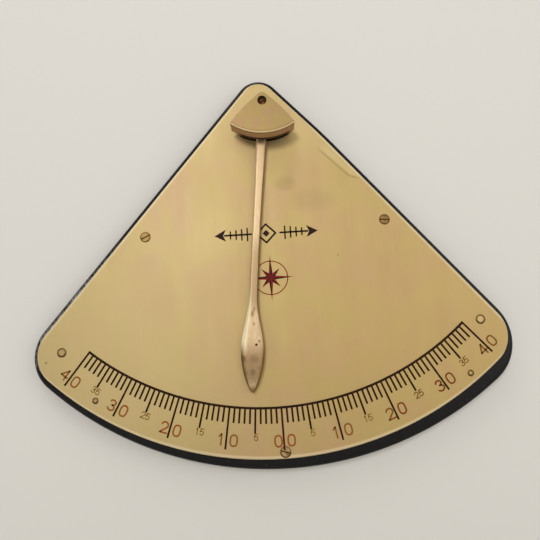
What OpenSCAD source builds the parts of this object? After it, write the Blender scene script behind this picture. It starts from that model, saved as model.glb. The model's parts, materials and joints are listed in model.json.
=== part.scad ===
// Wall clinometer: a brass sector dial on a black board, read by a hanging pendulum.
// The row frame is the wall's: X to the right, Z up, and the front faces -Y.
// The origin is the centre of the printed scale, on the board's back face.
// Shapes are drawn in dial coordinates, x right, y up and z out of the wall,
// and on_wall() turns them upright.

/* [Scale] */
// Radius of the printed arc
scale_r = 180; // [160:1:186]
// Width of the printed arc
arc_w = 1.4; // [0.8:0.1:2]
// Degrees printed on each side of zero
scale_span = 40; // [20:10:40]
// Width of a degree mark
tick_w = 1.15; // [0.6:0.05:1.4]
// Length of a one-degree mark, from the arc's middle
tick_minor = 9.2; // [5:0.1:12]
// Length of a five-degree mark
tick_five = 14.7; // [12:0.1:18]
// Length of a ten-degree mark
tick_ten = 24.8; // [19:0.1:26]
// Thickness of the printed enamel
print_t = 0.12; // [0.08:0.02:0.3]

/* [Dial plate] */
// Thickness of the brass sheet
plate_t = 1.6; // [1.2:0.1:3]
// Angle of each straight edge from the plate's centreline
plate_side_angle = 40; // [39:0.5:44]
// Brass between the ends of the long marks and the lower edge
plate_margin = 5.2; // [4.8:0.1:12]
// Radius of the rounded top
plate_nose_r = 11.6; // [10:0.1:13]
// Height of the rounded top's centre above the scale's centre
plate_nose_y = 18.7; // [17:0.1:20]
// Distance of the rounded top's centre to the left of the plate's centreline
plate_nose_left = 1.4; // [0.6:0.1:2]
// Place on the right edge where it bends in towards the top, below the scale's centre
plate_bend_down = 35; // [30:0.5:40]
// Radius of that slight bend
plate_bend_r = 200; // [100:10:240]
// Radius of the two lower corners
plate_corner_r = 20; // [14:1:26]
// Bevel along the plate's front edge
plate_bevel = 0.5; // [0.2:0.1:0.8]
// Sideways shift of the plate's centreline from the scale's centre
plate_shift = 1.6; // [-3:0.1:3]
// Turn of the plate's centreline from the zero mark
plate_turn = 1.75; // [-3:0.05:3]

/* [Backing board] */
// Thickness of the board
board_t = 12; // [12:0.5:20]
// Margin of the board beyond the plate's top and sides
board_margin = 3.2; // [3:0.1:8]
// Margin of the board below the plate
board_foot = 6.6; // [6:0.1:9]
// Distance of the board's lower curve to the right of the plate's
board_foot_shift = 3.2; // [0:0.1:3.6]
// Radius of the board's lower left corner
board_left_r = 25; // [22:0.5:28]
// Radius of the board's lower right corner
board_right_r = 30; // [27:0.5:31]
// Rounding of the board's front edge
board_round = 2.5; // [1:0.5:3.5]
// Chamfer round the board's back edge
board_chamfer = 0.8; // [0.4:0.1:1.5]

/* [Pivot] */
// Pivot's distance to the right of the scale's centre
pivot_x = 3.3; // [-4:0.1:4]
// Pivot's height above the scale's centre
pivot_y = 9.7; // [6:0.1:12]
// Diameter of the pivot bolt
bolt_d = 4; // [3:0.1:4.2]
// Running clearance round the bolt, on the radius
run_gap = 0.05; // [0.02:0.01:0.1]
// Wall of the pendulum's bush
bush_wall = 0.85; // [0.7:0.05:0.9]
// Length of the bush
bush_len = 4.6; // [4:0.1:4.7]
// Thickness of each thrust washer
thrust_t = 0.8; // [0.5:0.1:0.8]
// Outer diameter of the thrust washers
thrust_d = 8; // [7:0.1:8.6]
// Depth of the nut's counterbore in the board's back
nut_pocket_depth = 7; // [6.5:0.5:8]
// Diameter of the nut's counterbore
nut_pocket_d = 14; // [13:0.5:16]
// Width of the nut across its flats
nut_flats = 7; // [6.5:0.5:8]
// Thickness of the nut
nut_t = 3.2; // [2.4:0.1:3.6]
// Outer diameter of the washer under the nut
nut_washer_d = 10; // [9:0.5:12]
// Thickness of the washer under the nut
nut_washer_t = 0.8; // [0.5:0.1:1]
// Thread of the bolt that stands out of the nut
bolt_spare = 1.2; // [0.5:0.1:1.5]

/* [Pivot cover] */
// Thickness of the cover's solid slab
cover_slab = 10; // [8:0.5:14]
// Depth of the pocket that the pendulum swings in
cover_gap = 6.5; // [6.5:0.1:8]
// Radius of the cover's nose
cover_nose_r = 3; // [2.8:0.1:3.4]
// Height of the nose's centre above the pivot
cover_nose_up = 2.8; // [2.7:0.1:3.2]
// Angle of each side of the cover from its centreline, where it leaves the nose
cover_nose_angle = 49.5; // [48:0.5:50]
// Radius of the cover's slightly rounded sides
cover_flank_r = 120; // [110:5:160]
// Angle of each side of the cover from its centreline, at its lower end
cover_side_angle = 37.8; // [37:0.1:40]
// Reach of the cover below the pivot
cover_reach = 21.5; // [18:0.5:22]
// Radius of the cover's curved lower edge
cover_arc_r = 35; // [30:1:45]
// Radius of the cover's two tips
cover_tip_r = 0.9; // [0.8:0.1:2]
// Overhang of the cover's lower edge past the two walls that it stands on
cover_overhang = 7; // [4:0.5:9]
// Bevel round the cover's front edge
cover_bevel = 0.4; // [0.3:0.1:0.6]
// Turn of the cover from upright, its lower edge to the left
cover_turn = 3.4; // [0:0.1:3.6]
// Diameter of the counterbore over the bolt's end
cover_hole_d = 5.7; // [4.6:0.1:6]
// Depth of the counterbore over the bolt's end
cover_hole_depth = 2; // [1:0.1:5]

/* [Pendulum] */
// Distance from the arc up to the point of the pendulum as it hangs plumb
point_gap = 9.3; // [5:0.1:20]
// Thickness of the rod
rod_t = 3; // [2.4:0.1:3.4]
// Width of the rod under the cover
rod_root_w = 6.5; // [5:0.1:6.6]
// Width of the rod farther down
rod_w = 5.3; // [4:0.1:5.6]
// Length over which the rod narrows, from the cover's edge down
rod_taper = 50; // [20:1:60]
// Length of the bob, from its shoulder to the point
bob_len = 63; // [50:1:80]
// Length of the bob below its widest place
bob_nose = 24; // [16:1:30]
// Greatest width of the bob
bob_w = 15; // [11:0.1:19]
// Greatest thickness of the bob
bob_t = 4.5; // [3.5:0.1:4.6]
// Width of the bob's blunt point
point_w = 1; // [0.6:0.1:2]
// Radius of the eye round the bush
eye_r = 4.1; // [3.8:0.1:4.2]
// Slight bow of the rod to the left
rod_bow = 1.5; // [0:0.1:2.5]
// Lean of the pendulum to the left of plumb, as it is drawn
rod_lean = 6.4; // [0:0.1:12]
// Swing to the left of plumb, where the rod nears the cover's wall
swing_left_angle = 39.7; // [30:0.1:39.9]
// Swing to the right of plumb, where the rod nears the cover's wall
swing_right_angle = 38.3; // [30:0.1:38.5]

/* [Fixings] */
// Head diameter of the three dial screws
screw_head_d = 6.6; // [6:0.1:7.2]
// Shank diameter of the three dial screws
screw_d = 3.2; // [2.8:0.1:3.5]
// Length of the three dial screws
screw_len = 10; // [8:0.5:11]
// Head diameter of the two corner pins
corner_pin_d = 5.4; // [4.8:0.1:6.6]
// Head diameter of the two scale pins
scale_pin_d = 3.4; // [3:0.1:4.4]
// Thickness of a pin's head
pin_head_t = 1; // [0.8:0.1:1.1]
// Shank diameter of the pins
pin_shank_d = 2; // [1.6:0.1:2.4]
// Length of the pins
pin_len = 8; // [6:0.5:10]
// Bevel round a pin's head
pin_bevel = 0.35; // [0.2:0.05:0.4]

/* [Places of the fixings] */
// Distance of the left screw down the plate's edge, from beside the scale's centre
screw_left_along = 103.8; // [80:0.1:130]
// Distance of the left screw inside the plate's edge
screw_left_inset = 10.6; // [8:0.1:16]
// Distance of the right screw down the plate's edge, from beside the scale's centre
screw_right_along = 99.8; // [80:0.1:130]
// Distance of the right screw inside the plate's edge
screw_right_inset = 9.5; // [8:0.1:16]
// Distance of the bottom screw below the end of the zero mark
screw_bottom_drop = 1.2; // [0:0.1:1.4]
// Distance of the bottom screw to the right of the zero mark
screw_bottom_x = 0.5; // [-3:0.1:3]
// Distance of the left corner pin outward from its corner's centre
corner_left_out = 4.7; // [0:0.1:6]
// Distance of the left corner pin above its corner's centre
corner_left_up = 1.6; // [-2:0.1:6]
// Distance of the right corner pin outward from its corner's centre
corner_right_out = 4.1; // [0:0.1:6]
// Distance of the right corner pin above its corner's centre
corner_right_up = 9.6; // [-2:0.1:10]
// Distance of the left scale pin inside the lower edge
scale_left_inset = 8; // [3.6:0.1:10]
// Distance of the right scale pin inside the lower edge
scale_right_inset = 4.8; // [3.6:0.1:10]

/* [Hanger] */
// Width of the hanger plate
hanger_w = 52; // [48:1:60]
// Height of the hanger plate
hanger_h = 20; // [20:0.5:24]
// Thickness of the hanger plate
hanger_t = 1.5; // [1:0.1:2]
// Radius of the keyhole's round entry
key_r = 4.5; // [4:0.1:4.8]
// Metal below the keyhole's entry
key_foot = 1.6; // [1.2:0.1:2]
// Metal above the keyhole's slot
key_brow = 2.6; // [2:0.1:3]
// Room round the keyhole for a wall screw's head, behind the plate
key_room = 1.5; // [1:0.1:2]
// Width of the keyhole's slot
key_slot_w = 4.6; // [4.4:0.1:5]
// Depth of the pocket behind the keyhole, from the back face
key_depth = 7; // [6:0.5:8]
// Height of the hanger's middle below the scale's centre
hanger_drop = 48; // [40:1:60]
// Sideways place of the keyhole, over the centre of mass
hanger_x = -1.6; // [-4:0.1:4]
// Head diameter of the hanger's screws
hanger_screw_d = 5.6; // [5:0.1:6]
// Shank diameter of the hanger's screws
hanger_screw_shank = 3; // [2.6:0.1:3.2]
// Length of the hanger's screws
hanger_screw_len = 9; // [7:0.5:10]
// Distance of each hanger screw from the plate's end
hanger_screw_inset = 8; // [6:0.5:9]

/* [Hidden] */
$fn = 96;

// Cuts run this far past the faces that they open
past = 1;
// Clearance of screws, pins and threads in their holes
fit_gap = 0.05;
// Clearance of the bolt through the board and the plate
through_gap = 0.2;
// Clearance round pieces that drop into a pocket
drop_gap = 0.2;
// Extra swing between a limit of travel and the cover's wall
stop_spare = 0.4;
// Clearance of the rod from the cover's wall at that swing
stop_gap = 0.1;
// Radius of the flat on a screw's tip
screw_tip_r = 0.2;
// Points per degree round a sector's top, and points round its corners and lower curve
nose_share = 0.32;
corner_steps = 28;
edge_steps = 80;
// Points round the board's rounded front edge
round_steps = 6;

plate_front = board_t + plate_t;
plate_r = scale_r + tick_ten + plate_margin;
rod_len = scale_r + pivot_y - point_gap;
bob_start = rod_len - bob_len;
bob_middle = rod_len - bob_nose;
plate_centre = [plate_shift, 0];
pivot = [pivot_x, pivot_y];
swing_plane = plate_front + cover_gap / 2;
cover_t = cover_gap + cover_slab;
cover_front = plate_front + cover_t;
bolt_r = bolt_d / 2;
bush_bore_r = bolt_r + run_gap;
bush_r = bush_bore_r + bush_wall;
bolt_back = nut_pocket_depth - nut_washer_t - nut_t - bolt_spare;
bolt_front = cover_front - cover_hole_depth;
hanger_centre = [hanger_x, -hanger_drop];
hanger_reach = hanger_w / 2 - hanger_screw_inset;
hanger_back = drop_gap;
key_entry = hanger_centre + [0, key_r + key_foot - hanger_h / 2];
key_top = hanger_centre + [0, hanger_h / 2 - key_slot_w / 2 - key_brow];

// Angles of the slots in the screws and the bolt, from level
left_slot_angle = 25;
right_slot_angle = -5;
bottom_slot_angle = -17;
bolt_slot_angle = 35;
hanger_left_slot_angle = 40;
hanger_right_slot_angle = -15;
// Angles of the two scale pins from the zero mark
left_pin_angle = 34;
right_pin_angle = 34.7;

module on_wall() rotate([90, 0, 0]) children();

module at_pivot() translate([pivot.x, pivot.y, 0]) children();

module on_plate_line() translate([plate_centre.x, plate_centre.y, 0])
    rotate([0, 0, -plate_turn]) children();

// The side lines of a sector run down at an angle from its centreline.
// Side is -1 at the left and 1 at the right.
function across(angle, side) = [side * cos(angle), sin(angle)];
function along(angle, side) = [side * sin(angle), -cos(angle)];
function bearing(v) = atan2(v.y, v.x);

// A rounded sector is [distance of the side lines, their angle, lower curve's centre,
// its radius, radii of the left and right corners, arcs round the top].
// An arc is [centre, radius, from, to].
function grown(s, g) = [s[0] + g, s[1], s[2], s[3] + g,
    [for (r = s[4]) r + g], [for (arc = s[5]) [arc[0], arc[1] + g, arc[2], arc[3]]]];
function corner_r(s, side) = s[4][side < 0 ? 0 : 1];
// A corner's circle touches the side line and the lower curve
function corner_centre(s, side) = let (
    n = across(s[1], side), r = corner_r(s, side), out = s[0] - n * s[2] - r)
    s[2] + out * n + sqrt(pow(s[3] - r, 2) - pow(out, 2)) * along(s[1], side);
function arc_points(centre, r, from, to, steps, skip = 0) =
    [for (i = [skip:steps - skip]) let (a = from + (to - from) * i / steps)
        centre + r * [cos(a), sin(a)]];
// The outline as points, anticlockwise from the right of the top
function sector_points(s) = let (
    left = corner_centre(s, -1), right = corner_centre(s, 1),
    left_end = 360 + bearing(left - s[2]), right_end = 360 + bearing(right - s[2])) concat(
    [for (arc = s[5]) each arc_points(arc[0], arc[1], arc[2], arc[3],
        ceil((arc[3] - arc[2]) * nose_share))],
    arc_points(left, corner_r(s, -1), 180 - s[1], left_end, corner_steps),
    arc_points(s[2], s[3], left_end, right_end, edge_steps, 1),
    arc_points(right, corner_r(s, 1), right_end, 360 + s[1], corner_steps));

// The plate's top is round at the left, and its right edge bends in to meet it
plate_nose = [-plate_nose_left, plate_nose_y];
plate_side = across(plate_side_angle, -1) * plate_nose + plate_nose_r;
plate_bend = (plate_side - plate_bend_r) * across(plate_side_angle, 1)
    + plate_bend_down * along(plate_side_angle, 1);
bend_to = plate_bend - plate_nose;
bend_end = bearing(bend_to) + acos((plate_nose_r - plate_bend_r) / norm(bend_to));
plate_sector = [plate_side, plate_side_angle, [0, 0], plate_r,
    [plate_corner_r, plate_corner_r],
    [[plate_bend, plate_bend_r, plate_side_angle, bend_end],
     [plate_nose, plate_nose_r, bend_end, 180 - plate_side_angle]]];
board_top = grown(plate_sector, board_margin)[5];
board_sector = [plate_side + board_margin, plate_side_angle, [board_foot_shift, 0],
    plate_r + board_foot, [board_left_r, board_right_r], board_top];

// The cover's sides are slightly round, and each arc ends a step short of the nose's
cover_nose = [0, cover_nose_up];
function cover_flank(side) =
    cover_nose + (cover_nose_r - cover_flank_r) * across(cover_nose_angle, side);
cover_side = across(cover_side_angle, 1) * cover_flank(1) + cover_flank_r;
cover_foot_centre = [0, cover_arc_r - cover_reach];
cover_sector = [cover_side, cover_side_angle, cover_foot_centre,
    cover_arc_r, [cover_tip_r, cover_tip_r],
    [[cover_flank(1), cover_flank_r, cover_side_angle, cover_nose_angle - 1 / nose_share],
     [cover_nose, cover_nose_r, cover_nose_angle, 180 - cover_nose_angle],
     [cover_flank(-1), cover_flank_r, 180 - cover_nose_angle + 1 / nose_share,
         180 - cover_side_angle]]];

// Places on the plate
function plate_point(p) = plate_centre
    + [p.x * cos(plate_turn) + p.y * sin(plate_turn),
       p.y * cos(plate_turn) - p.x * sin(plate_turn)];
function beside_edge(side, down, inset) =
    plate_point((plate_side - inset) * across(plate_side_angle, side)
        + down * along(plate_side_angle, side));
function at_corner(side, out, up) =
    plate_point(corner_centre(plate_sector, side) + [side * out, up]);
function above_edge(side, angle, inset) =
    (plate_r - inset) * [side * sin(angle), -cos(angle)];
screw_left_at = beside_edge(-1, screw_left_along, screw_left_inset);
screw_right_at = beside_edge(1, screw_right_along, screw_right_inset);
screw_bottom_at = [screw_bottom_x, -scale_r - tick_ten - screw_bottom_drop];
corner_pin_left_at = at_corner(-1, corner_left_out, corner_left_up);
corner_pin_right_at = at_corner(1, corner_right_out, corner_right_up);
scale_pin_left_at = above_edge(-1, left_pin_angle, scale_left_inset);
scale_pin_right_at = above_edge(1, right_pin_angle, scale_right_inset);

function bevelled_rim(thick, bevel) = [[0, 0], [0, thick - bevel], [-bevel, thick]];
board_rim = concat(
    [[-board_chamfer, 0], [0, board_chamfer]],
    [for (i = [0:round_steps]) let (a = 90 * i / round_steps)
        [-board_round * (1 - cos(a)), board_t - board_round * (1 - sin(a))]]);

// Faces of a skin over rings of n points each, closed at both ends
function skin_faces(rings, n) = concat(
    [[for (k = [0:n - 1]) k]],
    [for (i = [0:rings - 2], k = [0:n - 1])
        [i * n + k, (i + 1) * n + k, (i + 1) * n + (k + 1) % n, i * n + (k + 1) % n]],
    [[for (k = [n - 1:-1:0]) (rings - 1) * n + k]]);

// A rounded sector's plate. Its rim is a list of [growth, height] from back to front.
module rimmed_sector(s, rim) {
    n = len(sector_points(s));
    polyhedron(
        points = [for (station = rim) for (p = sector_points(grown(s, station[0])))
            [p.x, p.y, station[1]]],
        faces = skin_faces(len(rim), n));
}

// A solid turned about its own middle, from a profile of [radius, height] points
module turned(profile) rotate_extrude() polygon(profile);

// A countersunk screw, point downwards, with its head's face at z = 0. As a hole it
// grows by a gap and goes on upwards as a mouth.
module countersunk(head_d, shank_d, len, grow = 0, mouth = 0) {
    shank_r = shank_d / 2 + grow;
    head_r = head_d / 2 + grow;
    turned(concat(
        [[0, -len - grow], [screw_tip_r + grow, -len - grow], [shank_r, shank_d - len],
            [shank_r, (shank_d - head_d) / 2], [head_r, 0]],
        mouth > 0 ? [[head_r, mouth]] : [],
        [[0, mouth]]));
}

module slotted_screw(head_d, shank_d, len, slot_turn) {
    slot_w = head_d / 8;
    slot_depth = head_d / 10;
    difference() {
        countersunk(head_d, shank_d, len);
        rotate([0, 0, slot_turn]) translate([-head_d / 2 - past, -slot_w / 2, -slot_depth])
            cube([head_d + 2 * past, slot_w, slot_depth + past]);
    }
}

// A flush pin, point downwards, with its bevelled head's face at z = 0
module flush_pin(head_d) turned([
    [0, -pin_len], [pin_shank_d / 2, -pin_len], [pin_shank_d / 2, -pin_head_t],
    [head_d / 2, -pin_head_t], [head_d / 2, -pin_bevel], [head_d / 2 - pin_bevel, 0],
    [0, 0]]);

// The hole for a flush pin: its mouth opens as a bevel round the head
module flush_pin_hole(head_d) {
    shank_r = pin_shank_d / 2 + fit_gap;
    head_r = head_d / 2 + fit_gap;
    turned([
        [0, -pin_len - fit_gap], [shank_r, -pin_len - fit_gap],
        [shank_r, -pin_head_t - fit_gap], [head_r, -pin_head_t - fit_gap],
        [head_r, -pin_bevel], [head_r + pin_bevel, fit_gap],
        [head_r + pin_bevel, past], [0, past]]);
}

module on_plate(at) translate([at.x, at.y, plate_front]) children();

module screw_holes() {
    for (at = [screw_left_at, screw_right_at, screw_bottom_at])
        on_plate(at) countersunk(screw_head_d, screw_d, screw_len, fit_gap, past);
}

module pin_holes() {
    for (at = [corner_pin_left_at, corner_pin_right_at])
        on_plate(at) flush_pin_hole(corner_pin_d);
    for (at = [scale_pin_left_at, scale_pin_right_at])
        on_plate(at) flush_pin_hole(scale_pin_d);
}

module bolt_hole(from, to) at_pivot() translate([0, 0, from])
    cylinder(h = to - from, r = bolt_r + through_gap);

// A level bar with round ends, centred on its own middle
module round_bar(w, h) {
    for (side = [-1, 1])
        translate([side * (w - h) / 2, 0]) circle(d = h);
    square([w - h, h], center = true);
}

module backing_board() color("#15130f") on_wall() {
    difference() {
        on_plate_line() rimmed_sector(board_sector, board_rim);
        bolt_hole(-past, board_t + past);
        at_pivot() translate([0, 0, -past])
            cylinder(h = nut_pocket_depth + past, d = nut_pocket_d);
        screw_holes();
        pin_holes();
        hanger_pocket();
    }
}

module hanger_pocket() {
    plate_seat = hanger_back + hanger_t;
    translate([hanger_centre.x, hanger_centre.y, -past])
        linear_extrude(plate_seat + past)
            round_bar(hanger_w + 2 * drop_gap, hanger_h + 2 * drop_gap);
    translate([0, 0, plate_seat - past]) linear_extrude(key_depth - plate_seat + past)
        head_room();
    for (side = [-1, 1]) hanger_screw_place(side)
        mirror([0, 0, 1]) countersunk(hanger_screw_d, hanger_screw_shank,
            hanger_screw_len, fit_gap);
}

// The room that a wall screw's head needs from the keyhole's entry to its slot's top
module head_room() {
    r = key_r + key_room;
    translate(key_entry) circle(r = r);
    translate(key_top) circle(r = r);
    translate([key_entry.x - r, key_entry.y]) square([2 * r, key_top.y - key_entry.y]);
}

module dial_plate() color("#d8bd84") on_wall() {
    difference() {
        translate([0, 0, board_t]) on_plate_line()
            rimmed_sector(plate_sector, bevelled_rim(plate_t, plate_bevel));
        bolt_hole(board_t - past, plate_front + past);
        screw_holes();
        pin_holes();
    }
}

function tick_len(deg) =
    deg % 10 == 0 ? tick_ten : deg % 5 == 0 ? tick_five : tick_minor;

module scale_print() color("#2b1c12") on_wall() {
    outer = scale_r + arc_w / 2;
    edge = asin(tick_w / 2 / scale_r);
    translate([0, 0, plate_front]) {
        rotate([0, 0, -90 - scale_span - edge])
            rotate_extrude(angle = 2 * (scale_span + edge), $fn = 360)
                translate([outer - arc_w, 0]) square([arc_w, print_t]);
        for (deg = [-scale_span:scale_span])
            rotate([0, 0, deg]) translate([-tick_w / 2, -scale_r - tick_len(abs(deg)), 0])
                cube([tick_w, tick_len(abs(deg)), print_t]);
    }
}

// The room round the eye and the thrust washers, and a wedge between the two stops
// for the rod
module swing_room() {
    wall = rod_root_w / 2 + stop_gap;
    far = 3 * cover_reach;
    left = swing_left_angle + stop_spare;
    right = swing_right_angle + stop_spare;
    circle(r = max(eye_r, thrust_d / 2) + drop_gap);
    polygon([
        [wall * cos(right), wall * sin(right)],
        [wall * cos(right) + far * sin(right), wall * sin(right) - far * cos(right)],
        [-wall * cos(left) - far * sin(left), wall * sin(left) - far * cos(left)],
        [-wall * cos(left), wall * sin(left)]]);
}

// The room round the cover's lower edge, where only its slab reaches
module foot_room() difference() {
    circle(r = 3 * cover_reach);
    translate(cover_foot_centre) circle(r = cover_arc_r - cover_overhang);
}

module pivot_cover() color("#b4935c") on_wall() at_pivot() {
    difference() {
        translate([0, 0, plate_front]) rotate([0, 0, -cover_turn])
            rimmed_sector(cover_sector, bevelled_rim(cover_t, cover_bevel));
        translate([0, 0, plate_front - past]) linear_extrude(cover_gap + past)
            swing_room();
        translate([0, 0, plate_front - past]) rotate([0, 0, -cover_turn])
            linear_extrude(cover_gap + past) foot_room();
        translate([0, 0, plate_front]) cylinder(h = cover_t + past,
            r = bolt_r + fit_gap);
        translate([0, 0, cover_front - cover_hole_depth])
            cylinder(h = cover_hole_depth + past, d = cover_hole_d);
    }
}

module pivot_bolt() color("#c9a968") on_wall() at_pivot() {
    slot_w = 0.9;
    slot_depth = 1.1;
    chamfer = 0.4;
    difference() {
        turned([
            [0, bolt_back], [bolt_r - chamfer, bolt_back], [bolt_r, bolt_back + chamfer],
            [bolt_r, bolt_front - chamfer], [bolt_r - chamfer, bolt_front],
            [0, bolt_front]]);
        rotate([0, 0, bolt_slot_angle])
            translate([-bolt_d, -slot_w / 2, bolt_front - slot_depth])
                cube([2 * bolt_d, slot_w, slot_depth + past]);
    }
}

module ring(inner_r, outer_r, thick) difference() {
    cylinder(h = thick, r = outer_r);
    translate([0, 0, -past]) cylinder(h = thick + 2 * past, r = inner_r);
}

module pivot_nut() color("#b08d4f") on_wall() at_pivot() {
    translate([0, 0, nut_pocket_depth - nut_washer_t - nut_t]) difference() {
        cylinder(h = nut_t, d = nut_flats / cos(30), $fn = 6);
        translate([0, 0, -past]) cylinder(h = nut_t + 2 * past, r = bolt_r + fit_gap);
    }
}

module nut_washer() color("#bf9d5f") on_wall() at_pivot()
    translate([0, 0, nut_pocket_depth - nut_washer_t])
        ring(bolt_r + through_gap, nut_washer_d / 2, nut_washer_t);

module rear_thrust_washer() color("#c7a35f") on_wall() at_pivot()
    translate([0, 0, plate_front])
        ring(bolt_r + run_gap, thrust_d / 2, thrust_t);

module front_thrust_washer() color("#c7a35f") on_wall() at_pivot()
    translate([0, 0, plate_front + cover_gap - thrust_t])
        ring(bolt_r + run_gap, thrust_d / 2, thrust_t);

// The blade's half width at a distance from the pivot: a rod that narrows below
// the cover, a smooth shoulder to the bob and an ogive down to the point
function ease(t) = let (u = min(max(t, 0), 1)) u * u * (3 - 2 * u);
function rod_half(d) = rod_w / 2
    + (rod_root_w - rod_w) / 2 * (1 - ease((d - cover_reach) / rod_taper));
function shoulder_half(d) = rod_half(d)
    + (bob_w - rod_w) / 2 * ease((d - bob_start) / (bob_middle - bob_start));
function point_half(d) = point_w / 2 + (bob_w - point_w) / 2
    * pow(cos(90 * (d - bob_middle) / (rod_len - bob_middle)), nose_power);
function blade_half(d) = d < bob_middle ? shoulder_half(d) : point_half(d);
function blade_thick(d) = d < bob_middle
    ? rod_t + (bob_t - rod_t) * ease((d - bob_start) / (bob_middle - bob_start))
    : bob_t - (bob_t - point_w) * pow((d - bob_middle) / (rod_len - bob_middle), 2);
// A power below 1 makes the point fuller. The bevels take a share of the half width, and
// an edge falls by so many times that share of the face's height.
nose_power = 0.56;
rod_bevel = 0.3;
bob_bevel = 0.32;
edge_fall = 1.6;
function bevel_share(d) =
    rod_bevel + (bob_bevel - rod_bevel) * ease((d - bob_start) / (bob_middle - bob_start));
function blade_bow(d) = -rod_bow * sin(180 * pow(d / rod_len, 1.5));

// Stations along the blade, closer together in the bob
rod_steps = 12;
bob_steps = 20;
point_steps = 14;
stations = concat(
    [for (i = [0:rod_steps - 1]) i * bob_start / rod_steps],
    [for (i = [0:bob_steps - 1]) bob_start + i * (bob_middle - bob_start) / bob_steps],
    [for (i = [0:point_steps])
        bob_middle + (rod_len - bob_middle) * sin(90 * i / point_steps)]);

// One ring of the blade: a flat face with bevels down to a thin edge
function blade_ring(d) = let (
    half = blade_half(d), flat = half * (1 - bevel_share(d)),
    face = blade_thick(d) / 2, edge = face * (1 - edge_fall * bevel_share(d)),
    mid = blade_bow(d))
    [[mid + half, -d, edge], [mid + flat, -d, face], [mid - flat, -d, face],
     [mid - half, -d, edge], [mid - half, -d, -edge], [mid - flat, -d, -face],
     [mid + flat, -d, -face], [mid + half, -d, -edge]];

module blade() polyhedron(
    points = [for (d = stations) each blade_ring(d)],
    faces = skin_faces(len(stations), len(blade_ring(0))));

module pendulum() color("#d9bd8f") on_wall() at_pivot()
    translate([0, 0, swing_plane]) rotate([0, 0, -rod_lean]) difference() {
        union() {
            translate([0, 0, -rod_t / 2]) cylinder(h = rod_t, r = eye_r);
            blade();
        }
        translate([0, 0, -rod_t]) cylinder(h = 2 * rod_t, r = bush_r);
    }

module pendulum_bush() color("#a9793f") on_wall() at_pivot()
    translate([0, 0, swing_plane - bush_len / 2])
        ring(bush_bore_r, bush_r, bush_len);

module dial_screw(at, slot_turn) color("#c2a25f") on_wall() on_plate(at)
    slotted_screw(screw_head_d, screw_d, screw_len, slot_turn);

module dial_screw_left() dial_screw(screw_left_at, left_slot_angle);

module dial_screw_right() dial_screw(screw_right_at, right_slot_angle);

module dial_screw_bottom() dial_screw(screw_bottom_at, bottom_slot_angle);

module dial_pin(at, head_d) color("#cdb079") on_wall() on_plate(at) flush_pin(head_d);

module corner_pin_left() dial_pin(corner_pin_left_at, corner_pin_d);

module corner_pin_right() dial_pin(corner_pin_right_at, corner_pin_d);

module scale_pin_left() dial_pin(scale_pin_left_at, scale_pin_d);

module scale_pin_right() dial_pin(scale_pin_right_at, scale_pin_d);

module hanger_screw_place(side) translate([hanger_centre.x + side * hanger_reach,
    hanger_centre.y, hanger_back]) children();

module hanger_plate() color("#9a9a96") on_wall() difference() {
    translate([hanger_centre.x, hanger_centre.y, hanger_back])
        linear_extrude(hanger_t) round_bar(hanger_w, hanger_h);
    translate([key_entry.x, key_entry.y, 0]) cylinder(h = key_depth, r = key_r);
    translate([key_top.x, key_top.y, 0]) cylinder(h = key_depth, d = key_slot_w);
    translate([key_entry.x - key_slot_w / 2, key_entry.y, 0])
        cube([key_slot_w, key_top.y - key_entry.y, key_depth]);
    for (side = [-1, 1]) hanger_screw_place(side) mirror([0, 0, 1])
        countersunk(hanger_screw_d, hanger_screw_shank, hanger_screw_len, fit_gap, past);
}

module hanger_screw(side, slot_turn) color("#8c8c88") on_wall()
    hanger_screw_place(side) mirror([0, 0, 1])
        slotted_screw(hanger_screw_d, hanger_screw_shank, hanger_screw_len, slot_turn);

module hanger_screw_left() hanger_screw(-1, hanger_left_slot_angle);

module hanger_screw_right() hanger_screw(1, hanger_right_slot_angle);

backing_board();
dial_plate();
scale_print();
pivot_cover();
pivot_bolt();
pivot_nut();
nut_washer();
rear_thrust_washer();
front_thrust_washer();
pendulum();
pendulum_bush();
dial_screw_left();
dial_screw_right();
dial_screw_bottom();
corner_pin_left();
corner_pin_right();
scale_pin_left();
scale_pin_right();
hanger_plate();
hanger_screw_left();
hanger_screw_right();
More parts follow.
